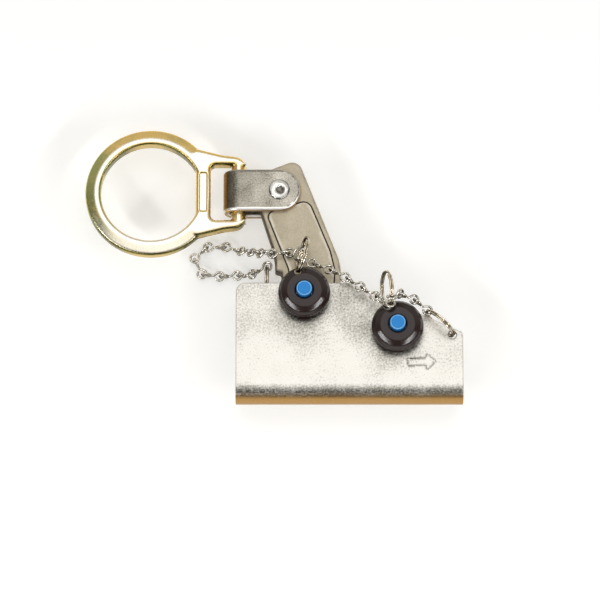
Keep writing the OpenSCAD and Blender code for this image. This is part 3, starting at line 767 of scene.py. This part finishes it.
def tube(path, r, sides):
    """A round wire along a path: rings of radius r, square to the path, whose first direction is
    carried from point to point without twisting; its ends are closed flat."""
    path = np.asarray(path, float)
    way = unit(np.gradient(path, axis=0))
    first = [np.cross(way[0], [0.3, 0.5, 0.81])]
    for t in way:
        first.append(unit(first[-1] - (first[-1] @ t) * t))
    first = np.array(first[1:])
    second = np.cross(way, first)
    c, s = around(np.arange(sides) * 2 * math.pi / sides).T[..., None]
    points = path[:, None] + r * (c * first[:, None] + s * second[:, None])
    k = np.arange(len(path) * sides).reshape(-1, sides)
    a, b = k[:-1], k[1:]
    quads = np.stack([a, np.roll(a, -1, 1), np.roll(b, -1, 1), b], -1).reshape(-1, 4).tolist()
    return points.reshape(-1, 3), quads + [k[0][::-1].tolist(), k[-1].tolist()]


well = circle([ring_middle, 0], ring_in + 0.6, 160)
well = well[(well[:, 0] > -27) & (well[:, 0] < web_end) & (well[:, 1] > 0)]
upper = [[neck_tip, slot_half, 0], [neck_tip, arm_end, 6.5], [-8, arm_end + 1.4, 30],
         [-21.5, arm_end + 4.8, 3], [-27, arm_end + 3.2, 0]]
upper += [[x, y, 0] for x, y in well[np.argsort(well[:, 0])]]
lower = [[x, -y, r] for x, y, r in upper[::-1]]
neck_corners = upper + lower + [[slot_end, -slot_half, slot_r], [slot_end, slot_half, slot_r]]
neck = blank(divided(rounded(neck_corners), 1.2), [], 1.6)
neck = slab(neck, neck_thick, neck_edge, flat_place, rows=5)
bar = tube([[0, y, 0] for y in np.linspace(-slot_half - 0.4, slot_half + 0.4, 20)], bar_r, 32)
lower = [[ring_in, -ridge_half, 1.2], [ridge_r, -ridge_half, 2.5], [ring_out, -rim_half, 1.4]]
section = rounded(lower + [[x, -z, r] for x, z, r in lower[::-1]])
hoop = lathe([ring_middle, 0], divided(section, 0.8), 160, closed=True)
slot_corners = [[6, -slot_half, 0], [6, slot_half, 0], [slot_end, slot_half, slot_r],
                [slot_end, -slot_half, slot_r]]
cut = slab(blank(divided(rounded(slot_corners), 1.5), [], 2.0), 14, 0.3, flat_place)
forging = worked(joined(hoop, neck), ("REMESH", forging_grid), ("BOOLEAN", "DIFFERENCE", cut))
eye_points, eye_faces = worked(joined(forging, bar), ("REMESH", forging_grid), ("SMOOTH", 18))
panel_corners = [[-20.9, -11, 1.2], [-16.2, -11, 1.2], [-16.2, 11, 1.2], [-20.9, 11, 1.2]]
panel = divided(rounded(panel_corners), 1)
on_top = (eye_points[:, 2] > 3.3) & inside(eye_points[:, :2], panel)
sunk = np.clip(nearest(eye_points[:, :2], panel) / 0.7, 0, 1) * on_top
eye_points[:, 2] -= web_sunk * sunk * sunk * (3 - 2 * sunk)
eye_points += [bar_x, rivet[1], 0]
piece("forged_ring", (eye_points, eye_faces), yellow_zinc, "ring_zinc_yellow", "eye",
      "connecting_ring", even=False)

# ------------ Ball-lock pins
# Two hollow pins through both walls. Each has a black mushroom knob on a steel shoulder, a blue
# button in the knob that pushes a spindle against a spring, and two balls past the far wall.

knob_z = bend_mid + sheet_t / 2 + 0.1
knob_r, knob_tall, rim_up, rim_thick = 13.5, 10.3, 4.1, 2.6
knob_top = knob_z + knob_tall
rim_low, rim_top = knob_z + rim_up, knob_z + rim_up + rim_thick
button_r, button_gap, recess_gap = 4.1, 0.35, 0.85
rim_hole_r, rim_hole_out = 1.85, 11.3
spring_turns, spring_wire_r = 4, 0.25

# Glass filled nylon, moulded black with a brown cast: glossy, with a faint ripple of about 4 mm
# and scuffs that dull it.
black_nylon, tree, skin, here = metal("black_glass_filled_nylon")
ripple = add(tree, "TexNoise", {"Vector": here, "Scale": 260, "Detail": 2})
scuffs = add(tree, "TexNoise", {"Vector": here, "Scale": 1200, "Detail": 4, "Roughness": 0.75})
tone = add(tree, "ValToRGB", {0: scuffs}, stops=((0.4, "#2a1f1d"), (0.75, "#352825")))
gloss = add(tree, "MapRange", {0: scuffs, "From": (0.35, 0.7), "To": (0.11, 0.2)})
relief = add(tree, "Bump", {"Height": ripple, "Strength": 0.1, "Distance": 0.0001})
fill(skin, {"Base Color": tone, "Roughness": gloss, "Normal": relief, "Metallic": 0.0,
            "Specular IOR Level": 0.4})

# Blue anodised aluminium: an even satin blue with a fine turned grain, and a painted highlight
# in pale blue on the top rim.
blue_anodised, tree, skin, here = metal("blue_anodised_aluminium")
turning = add(tree, "TexNoise", {"Vector": here, "Scale": 1500, "Detail": 2})
tone = add(tree, "ValToRGB", {0: turning}, stops=((0, "#1b7ac6"), (1, "#2e92e0")))
# Painted highlight: a pale blue line on the button's top rim.
rim = add(tree, "Attribute", attribute_name="painted_highlight").outputs["Fac"]
pale = add(tree, "Mix", {0: rim, 6: tone, 7: colour("#79bcf0")}, data_type="RGBA")
fill(skin, {"Base Color": pale, "Metallic": 0.35, "Roughness": 0.42})

# Ground stainless steel, for the pins' insides and the balls: even and bright.
ground_steel, tree, skin, here = metal("ground_stainless_steel")
polish = add(tree, "TexNoise", {"Vector": here, "Scale": 1400, "Detail": 2})
gloss = add(tree, "MapRange", {0: polish, "From": (0.3, 0.7), "To": (0.2, 0.32)})
fill(skin, {"Roughness": gloss, "Base Color": colour("#c9c7c3")})

# Drawn spring wire: darker, with drawing lines that scatter the light.
spring_steel, tree, skin, here = metal("drawn_spring_wire")
lines = add(tree, "TexNoise", {"Vector": here, "Scale": 2200, "Detail": 3})
tone = add(tree, "ValToRGB", {0: lines}, stops=((0, "#8f8d88"), (1, "#b7b5af")))
fill(skin, {"Base Color": tone, "Roughness": 0.3})

recess_r, throat_r = button_r + recess_gap, button_r + button_gap
knob_outside = [
    [6.5, knob_z], [knob_r - 4.1, knob_z], [knob_r - 4.1, rim_low], [knob_r - 0.7, rim_low],
    [knob_r, rim_low + 0.8], [knob_r, rim_top - 1], [knob_r - 0.4, rim_top - 0.2],
    [knob_r - 1.6, knob_top - 1.9], [knob_r - 4.4, knob_top - 0.15], [recess_r + 0.3, knob_top],
]
knob_inside = [
    [throat_r, knob_top - 0.4], [throat_r, knob_top - 1.2], [recess_r, knob_top - 1.8],
    [recess_r, knob_z + 3.1], [4.0, knob_z + 3.1], [4.0, knob_z + 2], [6.5, knob_z + 2],
]
knob_profile = softened(knob_outside + knob_inside, 0.6)

lanyard = {}
for pin, middle, way, pointer_out in (("pin_a", pin_a, 107.6, 0.6), ("pin_b", pin_b, 119, -0.3)):
    lanyard[pin] = middle[:2] + rim_hole_out * around(math.radians(way))
    flared = [[0, rim_low - 1], [2.9, rim_low - 1], [rim_hole_r, rim_low + 0.35],
              [rim_hole_r, rim_top + 0.3], [2.9, knob_top], [0, knob_top]]
    drill = lathe(lanyard[pin], softened(flared, 0.5), 32)
    tip = -knob_r - pointer_out
    pointer = divided(rounded([[-3, tip, 0.6], [3, tip, 0.6], [3, -8.2, 0], [-3, -8.2, 0]]), 1)
    lug_points, lug_faces, _ = slab(blank(pointer + middle[:2], [], 1.5), 1.8, 0.3, flat_place)
    lug = (lug_points + [0, 0, knob_z + 0.9], lug_faces)
    knob = worked(lathe(middle, knob_profile, 120, closed=True),
                  ("BOOLEAN", "DIFFERENCE", drill), ("BOOLEAN", "UNION", lug))
    piece(pin + "_cap", knob, black_nylon, "knob_black", pin, pin + "_knob")

    button_low, button_top = (corner[2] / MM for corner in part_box(pin + "_button"))
    push = [[1.0, button_low], [button_r, button_low], [button_r, button_top - 0.45],
            [button_r - 0.4, button_top], [button_r - 0.7, button_top],
            [button_r - 1.1, button_top - 0.2], [0.5, button_top - 0.2], [0, button_top - 0.1],
            [0, button_low + 2], [1.0, button_low + 2]]
    pushed = lathe(middle, softened(push, 0.12))
    button = piece(pin + "_push", pushed, blue_anodised, "button_blue", pin + "_plunger",
                   pin + "_button")
    from_axis = np.linalg.norm(pushed[0][:, :2] - middle[:2], axis=1)
    on_rim = (from_axis > button_r - 0.75) & (pushed[0][:, 2] > button_top - 0.3)
    mark(button, "painted_highlight", on_rim)

    (spring_left, _, spring_low), (spring_right, _, spring_top) = (
        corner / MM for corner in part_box(pin + "_spring")
    )
    mean_r = (spring_right - spring_left) / 2 - spring_wire_r
    turn = np.linspace(0, 2 * math.pi * spring_turns, 160)
    climb = np.linspace(spring_low + spring_wire_r, spring_top - spring_wire_r, 160)
    coil = np.column_stack([middle[:2] + mean_r * around(turn), climb])
    spring = piece(pin + "_coil", tube(coil, spring_wire_r, 12), spring_steel, "spring_steel", pin,
                   pin + "_spring", even=False)
    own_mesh(spring)
    refinish(ground_steel, pin + "_shank", pin + "_spindle", pin + "_ball_front",
             pin + "_ball_rear")

# ------------ Split rings
# Two close turns of spring wire, with a jog where the wire steps from one turn to the other.
# One hangs in each knob's rim, one in the channel's corner and one in its far wall's top edge.

split_wire, split_mean, split_sag = 1.1, 9.35, 0.2
slope = math.degrees(math.atan2(*(slope_foot - slope_top)[::-1]))


def shade(tree, skin, tone, painted_shade):
    """Colours a smooth wire by its tone where it faces up or down, and paints shade on it, in a
    dark colour, where it faces sideways."""
    facing = add(tree, "TexCoord").outputs["Normal"]
    _, _, z_way = add(tree, "SeparateXYZ", {0: facing}).outputs
    level = add(tree, "Math", {0: z_way}, operation="ABSOLUTE")
    # Painted shade on the sides of the wire.
    faces_up = add(tree, "MapRange", {0: level, "From": (0.25, 0.65)})
    mixed = add(tree, "Mix", {0: faces_up, 6: colour(painted_shade), 7: tone}, data_type="RGBA")
    fill(skin, {"Base Color": mixed, "Roughness": 0.2})


# Nickel plated wire, dulled: warm grey, rubbed brighter in patches of about 2 mm, with painted
# brown shade at the sides.
ring_nickel, tree, skin, here = metal("dull_nickel_wire")
wear_and_painted_shade = add(tree, "TexNoise", {"Vector": here, "Scale": 450, "Detail": 3})
tone = add(tree, "ValToRGB", {0: wear_and_painted_shade}, stops=((0.4, "#c0b298"), (0.65, "#faf0dc")))
shade(tree, skin, tone, "#5b4a32")


def hung(hole, height, heading, rise, roll=0):
    """How a split ring hangs: its near point in the hole, the way out from there to its middle,
    by its heading and rise, and the way up in its plane, which rolls about the way out."""
    heading, rise, roll = math.radians(heading), math.radians(rise), math.radians(roll)
    near = np.append(hole[:2] - split_sag * around(heading), height)
    out = np.append(math.cos(rise) * around(heading), math.sin(rise))
    up = np.append(-math.sin(rise) * around(heading), math.cos(rise))
    return near, out, math.cos(roll) * up + math.sin(roll) * np.cross(out, up)


def on_ring(ring, turn):
    """The middle of the ring's wire at a turn, and the way it runs there."""
    near, out, up = ring
    return (near + split_mean * ((1 + math.cos(turn)) * out + math.sin(turn) * up),
            math.cos(turn) * up - math.sin(turn) * out)


def two_turns(ring):
    """The path of a split ring's wire: two circles half a wire to each side of the ring's
    plane, joined by a smooth step over the last 0.6 radians of the first. The second stops 0.5
    radians short."""
    near, out, up = ring
    turn = np.linspace(0, 4 * math.pi - 0.5, 190)
    t = np.clip((turn - 2 * math.pi + 0.6) / 0.55, 0, 1)
    aside = split_wire * (t * t * (3 - 2 * t) - 0.5)
    turn += 0.5
    return (near + split_mean * ((1 + np.cos(turn))[:, None] * out + np.sin(turn)[:, None] * up)
            + aside[:, None] * np.cross(out, up))


rings = {
    "pin_a_ring": (hung(lanyard["pin_a"], rim_low + 2, 73, 20, 12), "pin_a"),
    "pin_b_ring": (hung(lanyard["pin_b"], rim_low + 2, 90, 23, 15), "pin_b"),
    "corner_ring": (hung(corner_hole, bend_mid, slope + 163.6, 20), "channel"),
    "anchor_ring": (hung(anchor_hole, -bend_mid, 90, 0), "channel"),
}
for name, (ring, body) in rings.items():
    piece(name + "_wire", tube(two_turns(ring), split_wire / 2, 12), ring_nickel,
          "split_ring_steel", body, name, even=False)

# ------------ Chains
# Single jack chain: each link is one wire bent into two loops at right angles. The links hang
# from ring to ring, each loop seated in the one before it.

chain_wire, loop_mean, loop_gap, link_overlap = 1.3, 2.25, 7.0, 2.6

# Galvanised wire: grey, with a bloom of about 1 mm, and painted shade where the wire faces
# sideways.
galvanised, tree, skin, here = metal("galvanised_chain_wire")
bloom = add(tree, "TexNoise", {"Vector": here, "Scale": 900, "Detail": 3})
tone = add(tree, "ValToRGB", {0: bloom}, stops=((0.38, "#c0bbae"), (0.66, "#fdf9ef")))
shade(tree, skin, tone, "#45403a")


def smooth(route, steps=12):
    """A Catmull-Rom curve through the route's points, steps to a span."""
    route = np.array(route, float)
    out = []
    for i in range(len(route) - 1):
        a, b, c, d = (route[min(max(i + k, 0), len(route) - 1)] for k in (-1, 0, 1, 2))
        for t in np.arange(steps) / steps:
            out.append(b + t / 2 * (c - a + t * (2 * a - 5 * b + 4 * c - d
                                                 + t * (3 * (b - c) + d - a))))
    return np.array(out + [route[-1]])


def seated(route, first_wire, last_wire):
    """The links along a route, each as (start, direction, side, third axis). Each link's start is
    found in three rounds, so that its loop rests in the last one's on the line that both planes
    share."""
    line = smooth(route)
    at = np.append(0, np.cumsum(np.linalg.norm(np.diff(line, axis=0), axis=1)))
    count = round((at[-1] + link_overlap) / (loop_gap + link_overlap))
    pitch = (at[-1] - loop_gap) / (count - 1)
    made = []
    for i in range(count):
        s = i * pitch + loop_gap
        aim = np.array([np.interp(s, at, line[:, k]) for k in range(3)])
        if i == 0:
            t = unit(aim - line[0])
            side = np.cross(first_wire, t)
            side = unit(side - (side @ t) * t)
            made.append((line[0], t, side, np.cross(t, side)))
            continue
        start, way, last_side = made[-1][:3]
        hint = last_wire if i == count - 1 else np.array([0.0, 0.0, 1.0])
        seat = way
        for _ in range(3):
            here = start + loop_gap * way + (pitch - loop_gap) * seat
            t = unit(aim - here)
            side = unit(hint - (hint @ t) * t)
            third = np.cross(t, side)
            shared = np.cross(last_side, third)
            seat = unit(shared) * np.sign(shared @ way)
        made.append((here, t, side, third))
    return made


def bent_link(link):
    """One link's wire: round the first loop from beside the neck, along the neck, and round the
    second loop in the other plane. Each loop is a point every 14 degrees."""
    start, t, side, third = link
    first = np.radians(np.arange(26, 321, 14))
    second = np.radians(np.arange(220, 515, 14))
    loops = [start + loop_mean * (np.cos(a) * t + np.sin(a) * side) for a in first]
    neck = [start + (loop_mean + share * (loop_gap - 2 * loop_mean)) * t for share in (0.3, 0.7)]
    far = [start + loop_gap * t + loop_mean * (np.cos(a) * t + np.sin(a) * third) for a in second]
    return smooth(loops + neck + far, 3)


def between(a, turn_a, route, b, turn_b):
    """The links of a chain from ring a to ring b along a route."""
    (p, wire_p), (q, wire_q) = on_ring(a, math.radians(turn_a)), on_ring(b, math.radians(turn_b))
    return seated([p] + route + [q], wire_p, wire_q)


def hang(name, links, node):
    """Makes some links as one piece, in place of a CAD chain node."""
    shape = joined(*[tube(bent_link(link), chain_wire / 2, 10) for link in links])
    made = piece(name, shape, galvanised, "chain_steel", None, node, even=False)
    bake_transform(made)


ring_a, ring_b, ring_corner, ring_anchor = (ring for ring, _ in rings.values())
handle_route = [
    [-29.5, 71.8, 9], [-35, 71, 8.2], [-40, 71.3, 7.6], [-45.5, 72.8, 3], [-50.5, 75.8, -5],
    [-56.5, 79, -13], [-64, 82, -15.6], [-72, 82.5, -15.6], [-79, 79.5, -15.6],
    [-81, 73.5, -15.6], [-77.5, 67.8, -15.6], [-69, 66, -15.6],
    [anchor_hole[0] - 17, anchor_hole[1] + 16, -15],
    [anchor_hole[0] - 6.5, anchor_hole[1] + 15.5, -9.5],
]
middle_route = [[-17, 65, 8.9], [-9, 60.9, 11.3], [-2, 56.9, 12.7], [4.5, 52.1, 14.7],
                [12, 46, 17.5]]
corner_route = [[27, 46, 19.5], [33.5, 44, 16]]
handle_links = between(ring_a, -72, handle_route, ring_anchor, 0)
middle_links = between(ring_a, -112, middle_route, ring_b, 135)
corner_links = between(ring_b, 108, corner_route, ring_corner, 5)
hang("chain_to_anchor", handle_links, "handle_chain")
hang("chain_from_first_pin", middle_links[:3], "middle_chain")
hang("chain_to_second_pin", middle_links[3:], "middle_chain")
hang("chain_to_corner", corner_links, "corner_chain")
